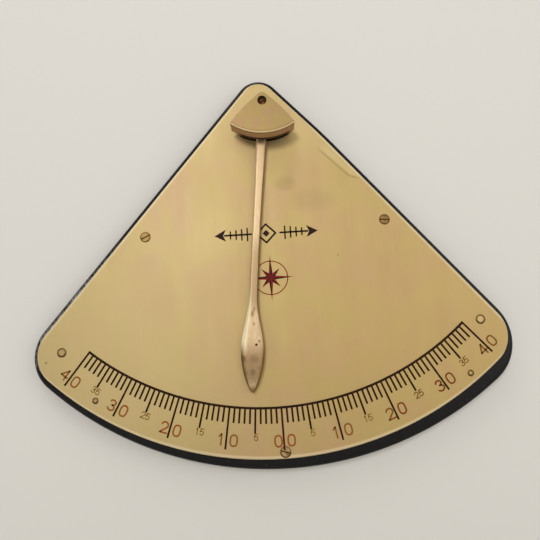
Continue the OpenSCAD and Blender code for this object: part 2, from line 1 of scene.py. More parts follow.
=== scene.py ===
import json
import math
import bpy
import bmesh
import numpy as np
from mathutils import Euler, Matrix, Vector


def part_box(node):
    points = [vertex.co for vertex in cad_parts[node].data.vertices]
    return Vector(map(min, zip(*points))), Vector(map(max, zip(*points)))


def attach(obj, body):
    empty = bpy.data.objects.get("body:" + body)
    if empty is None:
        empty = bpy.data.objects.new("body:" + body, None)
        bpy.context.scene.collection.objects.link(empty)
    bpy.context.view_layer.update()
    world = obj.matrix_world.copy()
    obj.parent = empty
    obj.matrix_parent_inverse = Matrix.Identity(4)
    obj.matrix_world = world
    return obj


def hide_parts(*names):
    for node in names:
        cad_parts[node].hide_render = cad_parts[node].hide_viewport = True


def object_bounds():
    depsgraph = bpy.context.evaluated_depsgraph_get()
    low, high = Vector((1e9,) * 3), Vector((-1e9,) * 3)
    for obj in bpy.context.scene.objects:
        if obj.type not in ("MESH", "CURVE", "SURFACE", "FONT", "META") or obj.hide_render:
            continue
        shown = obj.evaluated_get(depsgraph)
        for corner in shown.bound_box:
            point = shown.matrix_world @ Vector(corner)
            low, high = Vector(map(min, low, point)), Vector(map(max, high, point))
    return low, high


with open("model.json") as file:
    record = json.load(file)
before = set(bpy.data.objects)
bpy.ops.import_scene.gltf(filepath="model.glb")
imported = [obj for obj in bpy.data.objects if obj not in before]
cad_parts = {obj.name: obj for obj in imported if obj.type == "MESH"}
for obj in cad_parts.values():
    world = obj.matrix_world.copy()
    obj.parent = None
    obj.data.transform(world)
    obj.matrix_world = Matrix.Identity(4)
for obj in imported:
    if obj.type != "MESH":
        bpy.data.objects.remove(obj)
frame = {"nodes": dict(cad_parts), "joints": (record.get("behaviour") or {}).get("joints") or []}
cadLow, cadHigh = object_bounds()
mm = 0.001
pivot = np.array(frame["joints"][0]["pos_m"])
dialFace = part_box("dial_plate")[0].y      # the brass sheet's front, towards -Y
print("frame: %d nodes, dial face at %.1f mm" % (len(frame["nodes"]), dialFace / mm))


def middleOf(node):
    low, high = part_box(node)
    return (low + high) / 2


def radiusOf(node):
    low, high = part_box(node)
    return (high.x - low.x) / 2


# Meshes from arrays

def skin(rings):
    # rings is an array (ring, point, xyz): quads join each ring to the next and wrap
    # round it, and one flat face closes each end
    count, around = rings.shape[:2]
    ring = np.arange(count - 1)[:, None] * around
    point = np.arange(around)[None, :]
    ahead = (point + 1) % around
    quads = np.stack([ring + point, ring + ahead, ring + around + ahead,
                      ring + around + point], -1)
    ends = [list(range(around - 1, -1, -1)), list(range((count - 1) * around, count * around))]
    return rings.reshape(-1, 3), quads.reshape(-1, 4).tolist() + ends


def loopSkin(rings):
    # the same for a closed band: the last ring is joined to the first
    count, around = rings.shape[:2]
    ring = np.arange(count)[:, None] * around
    onward = (np.arange(count)[:, None] + 1) % count * around
    point = np.arange(around)[None, :]
    ahead = (point + 1) % around
    quads = np.stack([ring + point, ring + ahead, onward + ahead, onward + point], -1)
    return rings.reshape(-1, 3), quads.reshape(-1, 4).tolist()


def buildPiece(name, shells, body, smoothAngle=None, attributes=None):
    # shells are (points, faces) pairs; they become one object with its faces outwards
    points, faces, start = [], [], 0
    for shellPoints, shellFaces in shells:
        points.append(shellPoints)
        faces += [[index + start for index in face] for face in shellFaces]
        start += len(shellPoints)
    mesh = bpy.data.meshes.new(name)
    mesh.from_pydata(np.concatenate(points).tolist(), [], faces)
    for label, values in (attributes or {}).items():
        layer = mesh.attributes.new(label, "FLOAT", "POINT")
        layer.data.foreach_set("value", np.asarray(values, np.float32).ravel())
    work = bmesh.new()
    work.from_mesh(mesh)
    bmesh.ops.recalc_face_normals(work, faces=work.faces)
    work.to_mesh(mesh)
    work.free()
    if smoothAngle is not None:
        mesh.shade_smooth()
        mesh.set_sharp_from_angle(angle=math.radians(smoothAngle))
    piece = bpy.data.objects.new(name, mesh)
    bpy.context.scene.collection.objects.link(piece)
    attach(piece, body)
    return piece


def finishWith(piece, material):
    piece.data.materials.clear()
    piece.data.materials.append(material)


# Shader sums

def ink(code):
    # a colour code such as "d9bb80" as linear light
    parts = [int(code[i:i + 2], 16) / 255 for i in (0, 2, 4)]
    return tuple(p / 12.92 if p < 0.04045 else ((p + 0.055) / 1.055) ** 2.4 for p in parts) + (1,)


class Wire:
    # one node output that takes part in sums: each operator adds a Math node
    def __init__(self, paint, socket):
        self.paint, self.socket = paint, socket

    def sum(self, operation, first, second):
        return self.paint.add("ShaderNodeMath", {"operation": operation}, {0: first, 1: second})

    def __add__(self, other): return self.sum("ADD", self, other)
    def __radd__(self, other): return self.sum("ADD", other, self)
    def __sub__(self, other): return self.sum("SUBTRACT", self, other)
    def __rsub__(self, other): return self.sum("SUBTRACT", other, self)
    def __mul__(self, other): return self.sum("MULTIPLY", self, other)
    def __rmul__(self, other): return self.sum("MULTIPLY", other, self)
    def either(self, other): return self.sum("MAXIMUM", self, other)
    def unsigned(self): return self.either(0 - self)


class Paint:
    # one material: the methods add nodes and give back wires
    def __init__(self, name):
        self.material = bpy.data.materials.new(name)
        self.material.use_nodes = True
        self.tree = self.material.node_tree
        self.tree.nodes.clear()
        self.place = self.add("ShaderNodeTexCoord", {}, {}, "Object")
        self.spot = self.add("ShaderNodeVectorMath", {"operation": "SCALE"},
                             {0: self.place, "Scale": 1 / mm})      # the place in millimetres
        parts = self.tree.nodes.new("ShaderNodeSeparateXYZ")
        self.tree.links.new(self.spot.socket, parts.inputs[0])
        self.x, self.y, self.z = (Wire(self, parts.outputs[i]) for i in range(3))

    def add(self, kind, settings, inputs, output=0):
        # sockets take a wire, a colour code or a plain value
        node = self.tree.nodes.new(kind)
        for setting, value in settings.items():
            setattr(node, setting, value)
        for key, value in inputs.items():
            if isinstance(value, Wire):
                self.tree.links.new(value.socket, node.inputs[key])
            elif isinstance(value, str):
                node.inputs[key].default_value = ink(value)
            else:
                node.inputs[key].default_value = value
        return Wire(self, node.outputs[output]) if output is not None else None

    def mix(self, first, second, share):
        # sockets 6 and 7 are a Mix node's two colours, and output 2 is their mixture
        return self.add("ShaderNodeMix", {"data_type": "RGBA"}, {0: share, 6: first, 7: second}, 2)

    def between(self, wire, low, high):
        # 0 below low and 1 above high, eased; low may be above high
        return self.add("ShaderNodeMapRange", {"interpolation_type": "SMOOTHSTEP"},
                        {"Value": wire, "From Min": low, "From Max": high})

    def veil(self, colour, tint, wire, low, high, weight=1.0):
        # lays a tint over a colour, more and more as the wire goes from low to high
        return self.mix(colour, tint, self.between(wire, low, high) * weight)

    def noise(self, size, detail=2.0, roughness=0.5, distortion=0.0, shift=0.0):
        # clouds whose features are size millimetres along X, Y and Z
        spread = self.add("ShaderNodeMapping", {}, {
            "Vector": self.spot, "Location": (shift, shift, shift),
            "Scale": tuple(1 / s for s in size)})
        return self.add("ShaderNodeTexNoise", {}, {
            "Vector": spread, "Scale": 1.0, "Detail": detail, "Roughness": roughness,
            "Distortion": distortion})

    def length(self, x, y, z):
        # the root of the squares' sum
        return self.add("ShaderNodeVectorMath", {"operation": "LENGTH"}, {
            0: self.add("ShaderNodeCombineXYZ", {}, {0: x, 1: y, 2: z})}, "Value")

    def fromAxis(self, at):
        # distance in millimetres from a line along Y through a point of the frame
        flat = self.add("ShaderNodeVectorMath", {"operation": "MULTIPLY"},
                        {0: self.spot, 1: (1, 0, 1)})
        return self.add("ShaderNodeVectorMath", {"operation": "DISTANCE"},
                        {0: flat, 1: (at.x / mm, 0, at.z / mm)}, "Value")

    def attribute(self, label):
        return self.add("ShaderNodeAttribute", {"attribute_name": label}, {}, "Fac")

    def bump(self, height, distance, strength):
        # relief of the height given, distance millimetres deep
        return self.add("ShaderNodeBump", {}, {
            "Height": height, "Distance": distance * mm, "Strength": strength})

    def surface(self, colour, roughness, metallic=1.0, coat=0.0, coatRoughness=0.1, specular=0.5,
                normal=None):
        inputs = {"Base Color": colour, "Roughness": roughness, "Metallic": metallic,
                  "Coat Weight": coat, "Coat Roughness": coatRoughness,
                  "Specular IOR Level": specular}
        if normal is not None:
            inputs["Normal"] = normal
        shader = self.add("ShaderNodeBsdfPrincipled", {}, inputs)
        self.add("ShaderNodeOutputMaterial", {}, {"Surface": shader}, None)
        return self.material


# The dial's brass sheet

# A veil is three numbers: where its mask is 0, where it is 1, and its weight
dial = dict(
    yellow="c9b176", pink="cdae81", bright="d9c48f", dull="b9a164", golden="cdb072",
    patinaAndShade="6b5026", edge="f3e2bd", darkening="2a1608",
    blotch=dict(size=(26, 26, 32), detail=3, distortion=0.6),
    streak=dict(size=(11, 11, 60), detail=3, roughness=0.6, shift=3.1),
    brush=dict(size=(0.35, 0.35, 42), detail=4, roughness=0.7, shift=7.7),
    pinkVeil=(0.38, 0.64, 1.0), brightVeil=(0.5, 0.74, 0.25), dullVeil=(0.48, 0.28, 0.25),
    brushVeil=(0.52, 0.35, 0.12), topVeil=(-35, 0, 0.45), rimVeil=(-1.9, -0.9, 0.55),
    stainEdge=(1.2, 0.3), ring=0.35, ringWeight=0.7, ringGap=(1.35, 2.35),
    edgeFront=(0.02, 0.1), edgeBack=(0.65, 0.45), edgeWeight=0.9,
    roughness=0.47, brushRough=0.16, blotchRough=0.1, edgePolish=0.15, underCoverRough=0.4,
    coat=0.25, coatRoughness=0.3, brushHeight=0.7, relief=(0.02, 0.3))
# broad fields: tint, middle on the dial in mm, and veil by the distance from it; the bright field
# at the lower left is painted light
fields = [("bright", (-112, -146), (140, 15, 0.72)), ("golden", (125, -165), (185, 15, 0.55))]
# stains: place on the dial, reach across and up, and weight
stains = [((14, -40), (8, 6), 0.16), ((30, -52), (16, 9), 0.1),
          ((-142.8, -142.3), (0.9, 0.9), 0.6), ((43.5, -89.6), (0.5, 0.5), 0.8)]
dent = dict(start=(37.8, -18.8), end=(56.4, -38.9), bendFrom=26, bend=0.45, fadeIn=(-3, 5),
            fadeOut=(34, 29), line=(0.9, 0.1), lineWeight=0.3, shineFrom=(0.6, 2.0),
            shineTo=(7, 3), shineWeight=0.175)
# the sector below the cover's bolt, painted near black as the shade under the cover's slab; the
# arc's middle is measured from the pivot
underCover = dict(arcMiddle=(0.8, 13.5), arc=(34.1, 33.3), tips=(19, 14), drop=8, weight=0.92)
rimSearch = dict(cone=0.55, band=4, turnFrom=20, turnTo=70, turnStep=0.05)
screws = ["dial_screw_left", "dial_screw_right", "dial_screw_bottom"]
pins = ["corner_pin_left", "corner_pin_right", "scale_pin_left", "scale_pin_right"]
sheetPoints = np.array([v.co for v in frame["nodes"]["dial_plate"].data.vertices])[:, [0, 2]] / mm


def lowerRim():
    # the circle through the sheet's lower rim: least squares on x2 + z2 = 2ax + 2bz + c
    x, z = sheetPoints.T
    reach = np.hypot(x, z)
    middle = (np.abs(x) < rimSearch["cone"] * reach) & (z < 0)
    rim = sheetPoints[middle & (reach > reach[middle].max() - rimSearch["band"])]
    a, b, c = np.linalg.lstsq(np.column_stack([2 * rim, np.ones(len(rim))]),
                              (rim ** 2).sum(1), rcond=None)[0]
    return Vector((a * mm, 0, b * mm)), math.sqrt(c + a * a + b * b)


def straightRims():
    # as a direction turns, the sheet's farthest point jumps from one corner to the next
    # where the direction is square to a straight edge
    angle = np.radians(np.arange(rimSearch["turnFrom"], rimSearch["turnTo"],
                                 rimSearch["turnStep"]))
    lines = []
    for side in (-1, 1):
        outward = np.stack([side * np.cos(angle), np.sin(angle)])
        reach = sheetPoints @ outward
        farthest = sheetPoints[reach.argmax(0)]
        square = np.linalg.norm(np.diff(farthest, axis=0), axis=1).argmax()
        lines.append((outward[0, square], outward[1, square], reach[:, square].max()))
    return lines


def beyondStraight(paint, line):
    # millimetres outside one straight edge: the place times the outward direction
    across, up, far = (float(value) for value in line)
    return paint.x * across + paint.z * up - far


def beyondSheet(paint):
    # millimetres outside the whole sheet, below 0 on it
    middle, reach = lowerRim()
    beyond = paint.fromAxis(middle) - reach
    for line in straightRims():
        beyond = beyond.either(beyondStraight(paint, line))
    return beyond


def dentShades(paint):
    # a shallow dent beside the right edge, painted: a dark line of painted shade, and a painted
    # highlight on its outer side
    start, end = (np.array(dent[key], float) for key in ("start", "end"))
    alongX, alongZ = ((end - start) / np.linalg.norm(end - start)).tolist()
    x, z = paint.x - dent["start"][0], paint.z - dent["start"][1]
    run = x * alongX + z * alongZ
    off = z * alongX - x * alongZ - (run - dent["bendFrom"]).either(0) * dent["bend"]
    inside = paint.between(run, *dent["fadeIn"]) * paint.between(run, *dent["fadeOut"])
    line = paint.between(off.unsigned(), *dent["line"]) * inside
    shine = paint.between(off, *dent["shineFrom"]) * paint.between(off, *dent["shineTo"]) * inside
    return line * dent["lineWeight"], shine * dent["shineWeight"]


def coverArc(paint):
    # millimetres from the middle of the cover's lower arc
    x, z = underCover["arcMiddle"]
    return paint.fromAxis(Vector(pivot) + Vector((x, 0, z)) * mm)


def belowBolt(paint):
    # 1 in the middle stretch below the cover's bolt, 0 towards the cover's two tips
    across, _, level = (pivot / mm).tolist()
    aside = (paint.x - across).unsigned()
    return (paint.between(aside, *underCover["tips"])
            * paint.between(paint.z, level, level - underCover["drop"]))


def dialBrass():
    paint = Paint("dialBrass")
    blotch, streak, brush = (paint.noise(**dial[key]) for key in ("blotch", "streak", "brush"))
    colour = paint.veil(dial["yellow"], dial["pink"], blotch, *dial["pinkVeil"])
    colour = paint.veil(colour, dial["bright"], streak, *dial["brightVeil"])
    colour = paint.veil(colour, dial["dull"], streak, *dial["dullVeil"])
    colour = paint.veil(colour, dial["dull"], brush, *dial["brushVeil"])
    # broad fields of tone; the bright one lightens the lower left as painted light
    for tint, (x, z), veil in fields:
        colour = paint.veil(colour, dial[tint], paint.fromAxis(Vector((x, 0, z)) * mm), *veil)
    # painted light: the sheet lighter towards the top
    colour = paint.veil(colour, dial["bright"], paint.z, *dial["topVeil"])
    # the dent: painted shade and a painted highlight
    line, shine = dentShades(paint)
    colour = paint.mix(colour, dial["edge"], shine)
    colour = paint.mix(colour, dial["patinaAndShade"], line)
    for (x, z), (across, up), weight in stains:
        away = paint.length((paint.x - x) * (1 / across), (paint.z - z) * (1 / up), blotch - 0.5)
        colour = paint.veil(colour, dial["patinaAndShade"], away, *dial["stainEdge"], weight)
    # painted shade: the plate under the cover's slab near black
    shadeUnderCover = paint.between(coverArc(paint), *underCover["arc"]) * belowBolt(paint)
    colour = paint.mix(colour, dial["darkening"], shadeUnderCover * underCover["weight"])
    # painted highlight: a pale band just inside the sheet's outline
    colour = paint.veil(colour, dial["edge"], beyondSheet(paint), *dial["rimVeil"])
    depth = paint.y - dialFace / mm
    # painted highlight: the sheet's front bevel pale, kept clear of the rings round the fixings
    edge = paint.between(depth, *dial["edgeFront"]) * paint.between(depth, *dial["edgeBack"])
    for fixing in screws + pins:
        away = paint.fromAxis(middleOf(fixing)) - radiusOf(fixing) / mm
        colour = paint.veil(colour, dial["patinaAndShade"], away, dial["ring"], 0, dial["ringWeight"])
        edge = edge * paint.between(away, *dial["ringGap"])
    colour = paint.mix(colour, dial["edge"], edge * dial["edgeWeight"])
    rough = (dial["roughness"] + brush * dial["brushRough"] + blotch * dial["blotchRough"]
             - edge * dial["edgePolish"] + shadeUnderCover * dial["underCoverRough"])
    return paint.surface(colour, rough, coat=dial["coat"], coatRoughness=dial["coatRoughness"],
                         normal=paint.bump(brush * dial["brushHeight"], *dial["relief"]))


finishWith(frame["nodes"]["dial_plate"], dialBrass())
print("dial plate: brushed brass")


# The black board

board = dict(
    black="050504", sheen="0b0a09", scuffAndHighlight="9d9aa2", glint="cfcbd0",
    grain=dict(size=(0.7, 8, 26), detail=4, roughness=0.65),
    scuffs=dict(size=(1.1, 1.1, 2.6), detail=5, roughness=0.75, shift=5.3),
    sheenVeil=(0.4, 0.6, 1.0), front=(1.6, 0.2), back=(-0.9, -0.2),
    flank=(-50, -70), flankTop=(-55, -100), flankFoot=(-152, -144),
    scuffRange=(0.6, 0.7), flankRange=(0.46, 0.62), elsewhere=0.15, scuffWeight=0.6,
    glintFrom=(0.55, 0.95), glintTo=(1.45, 0.85), glintBreaks=(0.4, 0.58), glintWeight=0.6,
    roughness=0.26, scuffRough=0.3, backRough=0.35, grainRough=0.06, coat=0.1,
    coatRoughness=0.12, specular=0.22, scuffHeight=2, relief=(0.03, 0.4))


def boardLacquer():
    # most scuffs are on the front of the left flank, where they are partly a painted highlight,
    # and a broken painted glint runs beside the brass
    paint = Paint("boardLacquer")
    grain, scuffAndHighlight = (paint.noise(**board[key]) for key in ("grain", "scuffs"))
    front = paint.between(paint.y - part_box("backing_board")[0].y / mm, *board["front"])
    flank = (paint.between(paint.x, *board["flank"]) * paint.between(paint.z, *board["flankTop"])
             * paint.between(paint.z, *board["flankFoot"]))
    start, end = (away + flank * (near - away)
                  for away, near in zip(board["scuffRange"], board["flankRange"]))
    # scuffs on the front, faint elsewhere and strong on the left flank, where they are partly a
    # painted highlight
    worn = paint.between(scuffAndHighlight, start, end) * front
    worn = worn * (board["elsewhere"] + flank * (1 - board["elsewhere"]))
    colour = paint.veil(board["black"], board["sheen"], grain, *board["sheenVeil"])
    colour = paint.mix(colour, board["scuffAndHighlight"], worn * board["scuffWeight"])
    # painted glint: a broken pale line on the board's rounded edge beside the brass
    beyond = beyondStraight(paint, straightRims()[0])
    glint = paint.between(beyond, *board["glintFrom"]) * paint.between(beyond, *board["glintTo"])
    glint = glint * flank * front * paint.between(scuffAndHighlight, *board["glintBreaks"])
    colour = paint.mix(colour, board["glint"], glint * board["glintWeight"])
    back = paint.between(paint.y, *board["back"])
    rough = (board["roughness"] + worn * board["scuffRough"] + back * board["backRough"]
             + grain * board["grainRough"])
    return paint.surface(colour, rough, metallic=0.0, coat=board["coat"],
                         coatRoughness=board["coatRoughness"], specular=board["specular"],
                         normal=paint.bump(grain + worn * board["scuffHeight"], *board["relief"]))


finishWith(frame["nodes"]["backing_board"], boardLacquer())
print("board: black lacquer")


# The printed scale

scaleInk = dict(dark="281303", worn="41260c", red="56120a", zeroFoot=-203.0,
                wear=dict(size=(2.2, 2.2, 2.2), detail=4, roughness=0.7),
                wornVeil=(0.5, 0.72, 1.0), redVeil=(9, 4, 0.85), roughness=0.5, wearRough=0.15,
                specular=0.12, relief=(0.01, 0.5))


def scaleEnamel():
    # dark enamel, reddish round the foot of the zero mark
    paint = Paint("scaleEnamel")
    wear = paint.noise(**scaleInk["wear"])
    colour = paint.veil(scaleInk["dark"], scaleInk["worn"], wear, *scaleInk["wornVeil"])
    fromZero = paint.fromAxis(Vector((0, 0, scaleInk["zeroFoot"])) * mm)
    colour = paint.veil(colour, scaleInk["red"], fromZero, *scaleInk["redVeil"])
    rough = scaleInk["roughness"] + wear * scaleInk["wearRough"]
    return paint.surface(colour, rough, metallic=0.0, specular=scaleInk["specular"],
                         normal=paint.bump(wear, *scaleInk["relief"]))


finishWith(frame["nodes"]["scale_print"], scaleEnamel())


# Numerals: thin strokes on a flat band of ink

def arcPath(middle, reach, start, end, steps=22):
    # an ellipse's stretch: the middle plus reach times cosine and sine of the angle
    angle = np.radians(np.linspace(start, end, steps))
    return np.stack([middle[0] + reach[0] * np.cos(angle),
                     middle[1] + reach[1] * np.sin(angle)], 1)


def straightPath(start, end, steps=4):
    return np.linspace(start, end, steps)


def squareOval(reach, power=2.7, steps=44):
    # a superellipse: cosine and sine each raised to 2 / power, with their signs kept
    angle = np.linspace(0, 2 * np.pi, steps, endpoint=False)
    corner = np.stack([np.cos(angle), np.sin(angle)], 1)
    return np.sign(corner) * np.abs(corner) ** (2 / power) * np.array(reach)


# Each digit is 1 high about its own middle, as open strokes; the 0 is one closed stroke
digitStrokes = {
    "0": [squareOval((0.3, 0.46))],
    "1": [straightPath((0.05, 0.46), (0.05, -0.46)), straightPath((0.05, 0.46), (-0.15, 0.27))],
    "2": [np.concatenate([arcPath((0.0, 0.19), (0.28, 0.27), 165, -20),
                          straightPath((0.22, 0.02), (-0.29, -0.44), 6)]),
          straightPath((-0.29, -0.46), (0.31, -0.46))],
    "3": [arcPath((-0.01, 0.24), (0.25, 0.22), 160, -90),
          arcPath((-0.02, -0.22), (0.29, 0.24), 90, -160)],
    "4": [straightPath((0.14, 0.46), (0.14, -0.46)), straightPath((0.14, 0.46), (-0.33, -0.17)),
          straightPath((-0.33, -0.17), (0.33, -0.17))],
    "5": [straightPath((0.27, 0.46), (-0.16, 0.46)), straightPath((-0.16, 0.46), (-0.23, 0.02)),
          arcPath((0.0, -0.16), (0.29, 0.29), 140, -150)],
}
inkBand = dict(sink=0.02, rise=0.07, capStart=0.12, capSteps=6, capTip=0.0001)


def inkStroke(path, width, closed=False):
    # a flat band: half the width goes out square to the path, and open ends are round,
    # with half width the root of half squared less the run past the end squared
    half = np.broadcast_to(np.asarray(width, float) / 2, (len(path),)).copy()
    if closed:
        along = np.roll(path, -1, 0) - np.roll(path, 1, 0)
    else:
        along = np.gradient(path, axis=0)
    along /= np.linalg.norm(along, axis=1)[:, None]
    if not closed:
        run = np.sin(np.linspace(inkBand["capStart"], 1, inkBand["capSteps"]) * np.pi / 2)[::-1]
        for end, first in ((0, True), (-1, False)):
            h, step = half[end], -along[end] if first else along[end]
            cap = path[end] + step * (run * h)[:, None]
            shrunk = h * np.sqrt(1 + inkBand["capTip"] - run ** 2)
            same = np.repeat(along[end][None], len(run), 0)
            if first:
                path, half, along = (np.concatenate([cap, path]), np.concatenate([shrunk, half]),
                                     np.concatenate([same, along]))
            else:
                path, half, along = (np.concatenate([path, cap[::-1]]),
                                     np.concatenate([half, shrunk[::-1]]),
                                     np.concatenate([along, same]))
    square = np.stack([-along[:, 1], along[:, 0]], 1) * half[:, None]
    left, right = path + square, path - square
    low, high = (np.full((len(path), 1), h * mm) for h in (-inkBand["sink"], inkBand["rise"]))
    rings = np.stack([np.hstack([right * mm, low]), np.hstack([left * mm, low]),
                      np.hstack([left * mm, high]), np.hstack([right * mm, high])], 1)
    return loopSkin(rings) if closed else skin(rings)


def inkPatch(corners):
    # a flat filled shape: the same outline low and high
    outline = np.array(corners, float) * mm
    rings = np.stack([np.hstack([outline, np.full((len(outline), 1), h * mm)])
                      for h in (-inkBand["sink"], inkBand["rise"])])
    return skin(rings)


def onDial(shell, at, turn):
    # turns a flat shape by turn degrees and sets it on the brass at (x, z) millimetres
    points, faces = shell
    c, s = math.cos(math.radians(turn)), math.sin(math.radians(turn))
    across, up, lift = points.T
    return np.stack([at[0] * mm + across * c - up * s, dialFace - lift,
                     at[1] * mm + across * s + up * c], 1), faces


def digitShells(digit, height, stroke):
    return [inkStroke(path * height, stroke, closed=digit == "0") for path in digitStrokes[digit]]


def numberShells(text, angle, plan):
    # the number stands with its foot away from the scale's centre
    turn = math.radians(angle)
    shells = []
    for index, digit in enumerate(text):
        aside = (index - (len(text) - 1) / 2) * plan["gap"]
        at = (plan["aside"] + plan["radius"] * math.sin(turn) + aside * math.cos(turn),
              plan["up"] - plan["radius"] * math.cos(turn) + aside * math.sin(turn))
        shells += [onDial(shell, at, angle)
                   for shell in digitShells(digit, plan["height"], plan["stroke"])]
    return shells


majorNumbers = dict(angles=range(-40, 41, 10), digits="%02d", radius=199.9, aside=0.65, up=0.4,
                    height=6.9, gap=7.9, stroke=1.0, ink="985620", deep="7a3a12",
                    faded="8a6226", fadedVeil=(0.42, 0.58, 0.7))
minorNumbers = dict(angles=range(-35, 36, 10), digits="%d", radius=197.1, aside=0.55, up=0.1,
                    height=3.9, gap=2.9, stroke=0.6, ink="916927", deep="7a561e",
                    faded="a27c38", fadedVeil=(0.5, 0.7, 0.7))
numeralInk = dict(region=dict(size=(60, 60, 60), detail=1, shift=11.0),
                  wear=dict(size=(1.3, 1.3, 1.3), detail=4, roughness=0.7),
                  deepVeil=(35, 85, 1.0), wornVeil=(0.6, 0.8, 0.35), roughness=0.55,
                  specular=0.15, relief=(0.01, 0.5))


def numeralPiece(name, plan):
    shells = []
    for angle in plan["angles"]:
        shells += numberShells(plan["digits"] % abs(angle), angle, plan)
    return buildPiece(name, shells, "dial_board")


def printedInk(paint, colour, plan):
    # thin spots let the brass through
    wear = paint.noise(**plan["wear"])
    colour = paint.veil(colour, dial["yellow"], wear, *plan["wornVeil"])
    return paint.surface(colour, plan["roughness"], metallic=0.0, specular=plan["specular"],
                         normal=paint.bump(wear, *plan["relief"]))


def numberInk(name, plan):
    # the ink is deeper on the dial's right side and faded in broad patches
    paint = Paint(name)
    colour = paint.veil(plan["ink"], plan["deep"], paint.x, *numeralInk["deepVeil"])
    colour = paint.veil(colour, plan["faded"], paint.noise(**numeralInk["region"]),
                        *plan["fadedVeil"])
    return printedInk(paint, colour, numeralInk)


finishWith(numeralPiece("majorNumerals", majorNumbers), numberInk("majorInk", majorNumbers))
finishWith(numeralPiece("minorNumerals", minorNumbers), numberInk("minorInk", minorNumbers))
print("scale: marks and %d numbers" % (len(majorNumbers["angles"]) + len(minorNumbers["angles"])))


# Printed ornament: a double arrow and an eight-pointed star

arrow = dict(at=(-0.8, -71.9), turn=-1.2, inner=9.0, outer=26.5, headRoot=27.5, head=33.0,
             barb=25.7, headHalf=3.9, stroke=1.15, markStroke=0.92, lozenge=6.0, heart=2.3,
             marks=(12.0, 15.6, 19.2, 22.8), markHalf=(4.0, 3.4, 2.8, 2.2))
star = dict(at=(0.0, -100.6), turn=-1.2, points=8, longReach=14.2, shortReach=8.2, waist=3.1,
            ring=10.6, ringStroke=0.6, ringSteps=96, red="8c1a12", dark="2a0f08")
ornamentInk = dict(wear=dict(size=(1.6, 1.6, 1.6), detail=4, roughness=0.7),
                   wornVeil=(0.6, 0.82, 0.3), roughness=0.5, specular=0.15, relief=(0.01, 0.5))


def lozengeCorners(reach):
    return [(reach, 0), (0, reach), (-reach, 0), (0, -reach)]


def arrowShells():
    shells = []
    for side in (-1, 1):
        shells.append(inkStroke(straightPath((side * arrow["inner"], 0),
                                             (side * arrow["outer"], 0)), arrow["stroke"]))
        for half in (-1, 1):
            shells.append(inkPatch([(side * arrow["headRoot"], 0), (side * arrow["head"], 0),
                                    (side * arrow["barb"], half * arrow["headHalf"])]))
        for x, tall in zip(arrow["marks"], arrow["markHalf"]):
            shells.append(inkStroke(straightPath((side * x, -tall), (side * x, tall)),
                                    arrow["markStroke"]))
    corners = lozengeCorners(arrow["lozenge"])
    for index, corner in enumerate(corners):
        shells.append(inkStroke(straightPath(corner, corners[index - 1]), arrow["stroke"]))
    shells.append(inkPatch(lozengeCorners(arrow["heart"])))
    return [onDial(shell, arrow["at"], arrow["turn"]) for shell in shells]


def starShells(side):
    # one half of every point, from its spine to the waist on that side
    shells, step = [], 2 * math.pi / star["points"]
    for index in range(star["points"]):
        reach = star["longReach"] if index % 2 == 0 else star["shortReach"]
        spine = math.pi / 2 + step * index
        waist = spine + side * step / 2
        shells.append(inkPatch([
            (0, 0), (reach * math.cos(spine), reach * math.sin(spine)),
            (star["waist"] * math.cos(waist), star["waist"] * math.sin(waist))]))
    return [onDial(shell, star["at"], star["turn"]) for shell in shells]


starRing = onDial(inkStroke(squareOval((star["ring"], star["ring"]), power=2,
                                       steps=star["ringSteps"]),
                            star["ringStroke"], closed=True), star["at"], star["turn"])
for name, shells, shade in (("listArrows", arrowShells(), scaleInk["dark"]),
                           ("starDark", starShells(-1), star["dark"]),
                           ("starRed", starShells(1) + [starRing], star["red"])):
    finishWith(buildPiece(name, shells, "dial_board"),
               printedInk(Paint(name + "Ink"), shade, ornamentInk))
print("ornament: arrows and star")


# The pendulum: a forged rod with filed bevels, drawn out into a leaf-shaped bob

tipBand = 0.15      # millimetres above the solid's lowest point
tipPoints = np.array([v.co for v in frame["nodes"]["pendulum"].data.vertices])
tipPoints = tipPoints[tipPoints[:, 2] < tipPoints[:, 2].min() + tipBand * mm]
reach = tipPoints.mean(0) - pivot
lean = math.atan2(-reach[0], -reach[2])
blade = dict(length=math.hypot(reach[0], reach[2]) / mm, rootHalf=3.25, rodHalf=2.65,
             rootEnd=21.5, taper=50, bob=63, nose=25, bobHalf=7.2, pointHalf=0.5, lateness=1.4,
             fullness=0.7, rodThick=3.0, bobThick=4.5, rodBevel=0.3, bobBevel=0.32, fall=1.6,
             bow=1.5, bowPower=1.5, softness=0.28, softShare=0.45, softSteps=5, start=3.2,
             stations=420, smoothAngle=42,
             fileMarks=((0.05, 3.7, 0), (0.04, 1.9, 1), (0.05, 7.1, 2)))
eye = dict(outer=4.1, soft=0.3, around=16, steps=72, inset=3.0)


def ease(t):
    t = np.clip(t, 0, 1)
    return t * t * (3 - 2 * t)


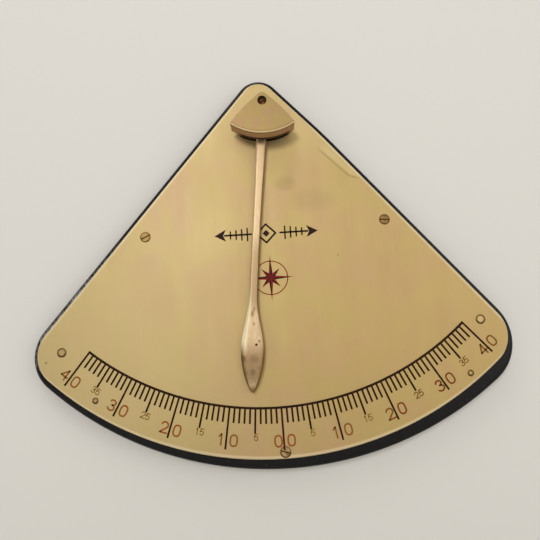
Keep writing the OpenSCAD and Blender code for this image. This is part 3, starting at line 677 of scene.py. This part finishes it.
def bladeRings():
    # at each distance down from the pivot: a flat face, bevels down to a thin edge and
    # soft corners. The half width eases from root to rod, eases out to the bob, later by a
    # power, and closes to the point as a cosine raised to the fullness; a few slow sines
    # are the file's marks
    down = np.linspace(blade["start"], blade["length"], blade["stations"])
    bobStart, widest = blade["length"] - blade["bob"], blade["length"] - blade["nose"]
    share = ease((down - bobStart) / (widest - bobStart)) ** blade["lateness"]
    rod = blade["rodHalf"] + (blade["rootHalf"] - blade["rodHalf"]) * (
        1 - ease((down - blade["rootEnd"]) / blade["taper"]))
    nose = np.clip((down - widest) / blade["nose"], 0, 1)
    half = np.where(down < widest, rod + (blade["bobHalf"] - blade["rodHalf"]) * share,
                    blade["pointHalf"] + (blade["bobHalf"] - blade["pointHalf"])
                    * np.maximum(np.cos(nose * np.pi / 2), 0) ** blade["fullness"])
    thick = np.where(down < widest,
                     blade["rodThick"] + (blade["bobThick"] - blade["rodThick"]) * share,
                     blade["bobThick"] - (blade["bobThick"] - 2 * blade["pointHalf"]) * nose ** 2)
    bevel = blade["rodBevel"] + (blade["bobBevel"] - blade["rodBevel"]) * share
    waver = sum(tall * np.sin(down / pace + start) for tall, pace, start in blade["fileMarks"])
    flat = half * (1 - bevel * (1 + waver))
    face = thick / 2
    edge = face * (1 - blade["fall"] * bevel)
    corners = np.stack([np.stack([half, edge], 1), np.stack([flat, face], 1),
                        np.stack([-flat, face], 1), np.stack([-half, edge], 1),
                        np.stack([-half, -edge], 1), np.stack([-flat, -face], 1),
                        np.stack([flat, -face], 1), np.stack([half, -edge], 1)], 1)
    before, after = np.roll(corners, 1, 1) - corners, np.roll(corners, -1, 1) - corners
    lengths = np.linalg.norm(before, axis=2), np.linalg.norm(after, axis=2)
    pull = np.minimum(blade["softness"], blade["softShare"] * np.minimum(*lengths))[..., None]
    start = corners + before / lengths[0][..., None] * pull
    end = corners + after / lengths[1][..., None] * pull
    t = np.linspace(0, 1, blade["softSteps"])[None, None, :, None]
    soft = ((1 - t) ** 2 * start[:, :, None] + 2 * t * (1 - t) * corners[:, :, None]
            + t ** 2 * end[:, :, None]).reshape(len(down), -1, 2)
    bow = -blade["bow"] * np.sin(np.pi * (down / blade["length"]) ** blade["bowPower"])
    local = np.concatenate([soft[..., :1] + bow[:, None, None],
                            np.broadcast_to(down[:, None, None], soft[..., :1].shape),
                            soft[..., 1:]], -1)
    inset = np.minimum(half[:, None] - np.abs(soft[..., 0]), (blade["length"] - down)[:, None])
    return local, soft[..., 0] / half[:, None], inset


def hang(local):
    # across, down from the pivot and out of the wall, in millimetres, into the frame
    across, down, out = np.moveaxis(local, -1, 0) * mm
    return pivot + np.stack([across * math.cos(lean) - down * math.sin(lean), -out,
                             -across * math.sin(lean) - down * math.cos(lean)], -1)


def eyeRings():
    # the eye round the bush: a rounded rectangle turned about the pivot
    inner, outer, half = radiusOf("pendulum_bush") / mm, eye["outer"], blade["rodThick"] / 2
    middle, corner = (inner + outer) / 2, eye["soft"]
    angle = (np.arange(eye["around"]) + 0.5) * 2 * np.pi / eye["around"]
    swell = np.stack([np.sign(np.cos(angle)) * ((outer - inner) / 2 - corner)
                      + corner * np.cos(angle),
                      np.sign(np.sin(angle)) * (half - corner) + corner * np.sin(angle)], 1)
    turn = np.linspace(0, 2 * np.pi, eye["steps"], endpoint=False)[:, None]
    radius = middle + swell[None, :, 0] + 0 * turn
    return np.stack([radius * np.sin(turn), radius * np.cos(turn),
                     np.broadcast_to(swell[None, :, 1], radius.shape)], -1)


bladeLocal, bladeAcross, bladeInset = bladeRings()
eyeLocal = eyeRings()
eyeCount = eyeLocal[..., 0].size
pendulum = buildPiece(
    "pendulumBlade", [skin(hang(bladeLocal)), loopSkin(hang(eyeLocal))], "pendulum_arm",
    smoothAngle=blade["smoothAngle"],
    attributes={"across": np.concatenate([bladeAcross.ravel(), np.zeros(eyeCount)]),
                "inset": np.concatenate([bladeInset.ravel(), np.full(eyeCount, eye["inset"])]),
                "down": np.concatenate([bladeLocal[..., 1].ravel(), np.zeros(eyeCount)]),
                "out": np.concatenate([bladeLocal[..., 2].ravel(), eyeLocal[..., 2].ravel()])})
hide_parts("pendulum")

rodBrass = dict(
    rose="d1b48c", pale="fbebc2", dusk="a5875f", edge="80612f", smudge="7d6243", pit="2c1c0c",
    cloud=dict(size=(5, 5, 14), detail=4, roughness=0.65, distortion=0.8),
    grain=dict(size=(0.4, 0.4, 9), detail=4, roughness=0.7, shift=2.0),
    mottle=dict(size=(2.2, 2.2, 3.4), detail=4, roughness=0.7, distortion=0.6, shift=8.0),
    paleVeil=(0.45, 0.7, 0.35), low=(149, 161), tip=(171, 178), duskWeight=0.5, duskCloud=0.4,
    tipDusk=0.9, tipPale=0.2, tipMottle=0.8, mottleVeil=(0.5, 0.7, 0.35),
    neckFrom=(78, 100), neckTo=(136, 124), neckWeight=0.65,
    bevelHighlight=(-0.35, -0.7), bob=(112, 135), rodGlow=0.35, glowDull=0.8,
    rightInset=(0.9, 0.4), rightAcross=(0, 0.3), rightWeight=0.75,
    outlineFrom=0.9, outlineTo=0.4, cloudFrom=1.2, cloudTo=0.7, outlineWeight=0.85,
    roughness=0.42, cloudRough=0.14, lowRough=0.06, relief=(0.03, 0.5))
# smudges and pits on the face: across as a share, down in mm, size in mm, weight
marks = [(0.18, 130.3, 1.7, 0.65), (-0.1, 133.0, 2.3, 0.65), (0.12, 139.2, 1.2, 0.6),
         (0.6, 149.5, 0.7, 0.8), (0.32, 151.7, 0.95, 1.0), (0.12, 160.4, 3.1, 0.35),
         (0.02, 168.2, 2.4, 0.5), (-0.8, 160.3, 2.2, 0.6)]
markPlan = dict(face=(1.0, 1.3), across=6.0, down=0.8, cloud=2.4, core=0.35, pitFrom=0.7)


def markedBrass(paint, colour, across, down, out, cloud):
    face = paint.between(out, *markPlan["face"])
    for aside, drop, size, weight in marks:
        away = paint.length((across - aside) * markPlan["across"],
                            (down - drop) * markPlan["down"], (cloud - 0.5) * markPlan["cloud"])
        tint = rodBrass["pit" if weight > markPlan["pitFrom"] else "smudge"]
        colour = paint.veil(colour, tint, away, size, size * markPlan["core"], face * weight)
    return colour


def pendulumBrass():
    # rosy brass with a painted highlight on the left bevel and painted shade on the right one,
    # dusky at the neck and on the bob's lower half, whose outline is darker, partly tarnish and
    # partly painted shade
    paint = Paint("pendulumBrass")
    across, inset, down, out = (paint.attribute(a) for a in ("across", "inset", "down", "out"))
    cloud, grain, mottle = (paint.noise(**rodBrass[key]) for key in ("cloud", "grain", "mottle"))
    low, tip, bob = (paint.between(down, *rodBrass[key]) for key in ("low", "tip", "bob"))
    colour = paint.veil(rodBrass["rose"], rodBrass["pale"], cloud, *rodBrass["paleVeil"])
    dusk = low * (rodBrass["duskWeight"] + cloud * rodBrass["duskCloud"])
    colour = paint.mix(colour, rodBrass["dusk"], dusk * (1 - tip * rodBrass["tipDusk"]))
    colour = paint.mix(colour, rodBrass["pale"], tip * rodBrass["tipPale"])
    start, end, weight = rodBrass["mottleVeil"]
    colour = paint.veil(colour, rodBrass["smudge"], mottle, start, end,
                        (low - tip * rodBrass["tipMottle"]) * weight)
    neck = paint.between(down, *rodBrass["neckFrom"]) * paint.between(down, *rodBrass["neckTo"])
    colour = paint.mix(colour, rodBrass["dusk"], neck * rodBrass["neckWeight"])
    # painted highlight: the left bevel pale, faint on the rod and strongest on the bob above its
    # lower half
    bevelHighlight = paint.between(across, *rodBrass["bevelHighlight"]) * (1 - low)
    bevelHighlight = bevelHighlight * (rodBrass["rodGlow"] + bob * (1 - rodBrass["rodGlow"]))
    colour = paint.mix(colour, rodBrass["pale"], bevelHighlight)
    # painted shade: the right bevel darker
    right = (paint.between(inset, *rodBrass["rightInset"])
             * paint.between(across, *rodBrass["rightAcross"]))
    colour = paint.mix(colour, rodBrass["edge"], right * rodBrass["rightWeight"])
    # the bob's lower outline darker: partly tarnish, partly painted shade
    outline = low * paint.between(inset, rodBrass["outlineFrom"] + cloud * rodBrass["cloudFrom"],
                                  rodBrass["outlineTo"] + cloud * rodBrass["cloudTo"])
    colour = paint.mix(colour, rodBrass["edge"], outline * rodBrass["outlineWeight"])
    colour = markedBrass(paint, colour, across, down, out, cloud)
    rough = rodBrass["roughness"] + cloud * rodBrass["cloudRough"] + low * rodBrass["lowRough"]
    return paint.surface(colour, rough, metallic=1 - bevelHighlight * rodBrass["glowDull"],
                         normal=paint.bump(grain + cloud, *rodBrass["relief"]))


finishWith(pendulum, pendulumBrass())
print("pendulum: %.0f mm blade, leaning %.1f degrees" % (blade["length"], math.degrees(lean)))


# The pivot cover: dull cast brass, its lower face darkened, partly with painted shade

cover = dict(
    face="ac945f", rose="b0906a", pale="dcc69a", side="c09a72", line="6b4f28", dark="241105",
    cloud=dict(size=(6, 6, 9), detail=4, roughness=0.6, distortion=0.5),
    grain=dict(size=(0.5, 0.5, 0.5), detail=4, roughness=0.75, shift=4.0),
    roseVeil=(0.42, 0.62, 1.0), grainVeil=(0.5, 0.72, 0.22),
    sideFrom=(0.35, 0.45), bevel=(0.02, 0.12), bevelWeight=0.7,
    band=(33.8, 34.4), bandWeight=0.6, shadeLine=(33.0, 33.6), shadeLineWeight=0.35,
    brown=(0.9, 1.6), brownVeil=(0.55, 0.75, 0.7), sideWeight=0.92,
    tips=(24.5, 27), tipWeight=0.7, gap=(6.9, 7.7), gapWeight=0.9, holeVeil=(3.1, 2.8, 0.9),
    roughness=0.42, cloudRough=0.15, sideRough=0.15, sideDull=0.6, grainHeight=0.6,
    relief=(0.05, 0.5))


def coverBrass():
    # the face has a painted highlight on its front bevel and along its lower edge, with a line of
    # painted shade above that; the side goes from brown to dark, with painted shade at its front
    # edge and at its back
    paint = Paint("coverBrass")
    cloud, grain = (paint.noise(**cover[key]) for key in ("cloud", "grain"))
    depth = paint.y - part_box("pivot_cover")[0].y / mm
    side = paint.between(depth, *cover["sideFrom"])
    colour = paint.veil(cover["face"], cover["rose"], cloud, *cover["roseVeil"])
    colour = paint.veil(colour, cover["line"], grain, *cover["grainVeil"])
    # painted highlight: the front bevel pale
    bevel = paint.between(depth, *cover["bevel"]) * (1 - side)
    colour = paint.mix(colour, cover["pale"], bevel * cover["bevelWeight"])
    arc = coverArc(paint)
    # painted highlight along the lower edge, with a line of painted shade just above it
    band = paint.between(arc, *cover["band"]) * (1 - side)
    shadeLine = paint.between(arc, *cover["shadeLine"]) * (1 - band) * (1 - side)
    colour = paint.mix(colour, cover["line"], shadeLine * cover["shadeLineWeight"])
    colour = paint.mix(colour, cover["pale"], band * cover["bandWeight"])
    # the side: a line of painted shade at its front edge, then brown with cloudy tone
    brown = paint.veil(cover["line"], cover["side"], depth, *cover["brown"])
    brown = paint.veil(brown, cover["line"], cloud, *cover["brownVeil"])
    colour = paint.mix(colour, brown, side * cover["sideWeight"])
    away = paint.fromAxis(Vector(pivot))
    tips = paint.between(away, *cover["tips"]) * side
    colour = paint.mix(colour, cover["line"], tips * cover["tipWeight"])
    # painted shade: the back of the side near black in the middle stretch, over the shadowed gap
    # under the slab
    gap = paint.between(depth, *cover["gap"]) * belowBolt(paint)
    colour = paint.mix(colour, cover["dark"], gap * cover["gapWeight"])
    # painted shade: dark in the bolt's hole
    colour = paint.veil(colour, cover["dark"], away, *cover["holeVeil"])
    rough = cover["roughness"] + cloud * cover["cloudRough"] + side * cover["sideRough"]
    return paint.surface(colour, rough, metallic=1 - side * cover["sideDull"],
                         normal=paint.bump(grain * cover["grainHeight"] + cloud, *cover["relief"]))


finishWith(frame["nodes"]["pivot_cover"], coverBrass())
print("cover: dull brass")


# Fixings and pivot metal

turned = dict(
    dark="3a2911", cloud=dict(size=(2.4, 2.4, 2.4), detail=4, roughness=0.65, distortion=0.4),
    grain=dict(size=(0.25, 0.25, 0.25), detail=3, roughness=0.7, shift=9.0),
    wornVeil=(0.42, 0.64, 1.0), darkVeil=(0.55, 0.7), roughness=0.32, cloudRough=0.2,
    relief=(0.02, 0.5))
# heads in the dial: base and worn colours, rim and slot in mm, the shadow's weight, tarnish
heads = dict(
    dial_screw_left=("8b7145", "765d37", 1.0, 0.6, 0.9, 0.35),
    dial_screw_right=("9c7d4e", "7d6038", 1.0, 0.6, 0.9, 0.35),
    dial_screw_bottom=("c6aa7c", "9e7f52", 1.0, 0.6, 0.9, 0.35),
    pin=(dial["yellow"], dial["pink"], 1.5, 0.4, 0.85, 0.1))
headShade = dict(ring="4a3212", below=(0.3, -0.5), rimTo=0.3, above=0.6, slot=(0.25, 0.8))
# the other metal parts: nodes, base and worn colours, tarnish
metals = dict(
    boltBrass=(["pivot_bolt"], "7c5429", "5e3b1a", 0.6),
    nutBrass=(["pivot_nut", "nut_washer"], "c6a564", "a98748", 0.2),
    washerBrass=(["rear_thrust_washer", "front_thrust_washer"], "c9a765", "ad8a4c", 0.3),
    bushBronze=(["pendulum_bush"], "a9703a", "8a5527", 0.3),
    hangerSteel=(["hanger_plate", "hanger_screw_left", "hanger_screw_right"],
                 "b9b9b4", "9b9a95", 0.0))


def turnedMetal(name, base, worn, darkening):
    # machined metal: fine grain and a cloudy tarnish
    paint = Paint(name)
    cloud, grain = (paint.noise(**turned[key]) for key in ("cloud", "grain"))
    colour = paint.veil(base, worn, cloud, *turned["wornVeil"])
    colour = paint.veil(colour, turned["dark"], cloud, *turned["darkVeil"], darkening)
    rough = turned["roughness"] + cloud * turned["cloudRough"]
    return paint, colour, rough, paint.bump(grain + cloud, *turned["relief"])


def headMetal(node, base, worn, rim, slot, shadow, darkening):
    # a fixing's head in the dial: painted shade in its slot and round its rim, most below
    paint, colour, rough, normal = turnedMetal(node + "Brass", base, worn, darkening)
    low, middle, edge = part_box(node)[0], middleOf(node), radiusOf(node) / mm
    start, end = headShade["below"]
    below = paint.between(paint.z - middle.z / mm, start * edge, end * edge)
    shade = paint.between(paint.fromAxis(middle), edge - rim, edge - rim * headShade["rimTo"])
    shade = shade * (headShade["above"] + below * (1 - headShade["above"]))
    start, end = headShade["slot"]
    shade = shade.either(paint.between(paint.y - low.y / mm, slot * start, slot * end))
    colour = paint.mix(colour, headShade["ring"], shade * shadow)
    return paint.surface(colour, rough, normal=normal)


for node in screws + pins:
    finishWith(frame["nodes"][node], headMetal(node, *heads[node if node in screws else "pin"]))
for name, (members, *finish) in metals.items():
    paint, colour, rough, normal = turnedMetal(name, *finish)
    metal = paint.surface(colour, rough, normal=normal)
    for node in members:
        finishWith(frame["nodes"][node], metal)
print("fixings: finished")


# Wall, floor, lamps and camera

stagePlan = dict(wall="e9e6e0", roughness=0.9, gap=0.4, floorDrop=60, size=2200,
                 mirroredFrom=(3, 6), room="f2efe9", roomLight=0.43)


def stagePlane(name, corners, seeThroughBack):
    mesh = bpy.data.meshes.new(name)
    mesh.from_pydata([tuple(c * mm for c in corner) for corner in corners], [], [(0, 1, 2, 3)])
    plane = bpy.data.objects.new(name, mesh)
    bpy.context.scene.collection.objects.link(plane)
    paint = Paint(name + "Paint")
    matt = paint.add("ShaderNodeBsdfPrincipled", {}, {
        "Base Color": stagePlan["wall"], "Roughness": stagePlan["roughness"]})
    if seeThroughBack:
        # clear from behind, and for light and for bounces near the board
        behind, seen, passed, mirrored, far = (
            paint.add("ShaderNode" + kind, {}, {}, output) for kind, output in
            (("NewGeometry", "Backfacing"), ("LightPath", "Is Camera Ray"),
             ("LightPath", "Is Transmission Ray"), ("LightPath", "Is Glossy Ray"),
             ("LightPath", "Ray Length")))
        near, clearOf = (reach * mm for reach in stagePlan["mirroredFrom"])
        shown = seen.either(passed).either(mirrored * paint.between(far, near, clearOf))
        clear = paint.add("ShaderNodeBsdfTransparent", {}, {})
        matt = paint.add("ShaderNodeMixShader", {}, {0: shown * (1 - behind), 1: clear, 2: matt})
    paint.add("ShaderNodeOutputMaterial", {}, {"Surface": matt}, None)
    mesh.materials.append(paint.material)


wide, back = stagePlan["size"], stagePlan["gap"]
floorLevel = cadLow.z / mm - stagePlan["floorDrop"]
stagePlane("wall", [(-wide, back, floorLevel), (wide, back, floorLevel),
                    (wide, back, floorLevel + wide), (-wide, back, floorLevel + wide)], True)
stagePlane("floor", [(-wide, -wide, floorLevel), (wide, -wide, floorLevel),
                     (wide, wide, floorLevel), (-wide, wide, floorLevel)], False)

lamps = {
    "keyLamp": dict(at=(-0.28, -1.28, 0.31), size=0.3, power=4.0),
    "fillLamp": dict(at=(0.95, -1.1, 0.1), size=1.2, power=5.4),
    "topLamp": dict(at=(-0.25, -0.55, 1.15), size=0.8, power=3.2),
}
aim = Vector((0, 0, -0.1))
for name, plan in lamps.items():
    light = bpy.data.lights.new(name, "AREA")
    light.size, light.energy = plan["size"], plan["power"]
    lamp = bpy.data.objects.new(name, light)
    lamp.location = plan["at"]
    lamp.rotation_euler = (aim - Vector(plan["at"])).to_track_quat("-Z", "Y").to_euler()
    bpy.context.scene.collection.objects.link(lamp)

world = bpy.data.worlds.new("room")
bpy.context.scene.world = world
world.use_nodes = True
surroundings = world.node_tree.nodes["Background"].inputs
surroundings["Color"].default_value = ink(stagePlan["room"])
surroundings["Strength"].default_value = stagePlan["roomLight"]

view = dict(at=(0.35, -295.31, -133.53), turn=(97.748, 4.549, 0.721), lens=30.0, sensor=36.0,
            rise=0.5 / 540, nearest=0.01)
cameraData = bpy.data.cameras.new("camera")
cameraData.lens, cameraData.sensor_width = view["lens"], view["sensor"]
cameraData.shift_y = -view["rise"]
cameraData.clip_start = view["nearest"]
camera = bpy.data.objects.new("camera", cameraData)
camera.location = Vector(view["at"]) * mm
camera.rotation_euler = Euler([math.radians(a) for a in view["turn"]])
bpy.context.scene.collection.objects.link(camera)
bpy.context.scene.camera = camera
bpy.context.scene.view_settings.view_transform = "Standard"
print("stage: wall, floor, %d lamps and the camera" % len(lamps))
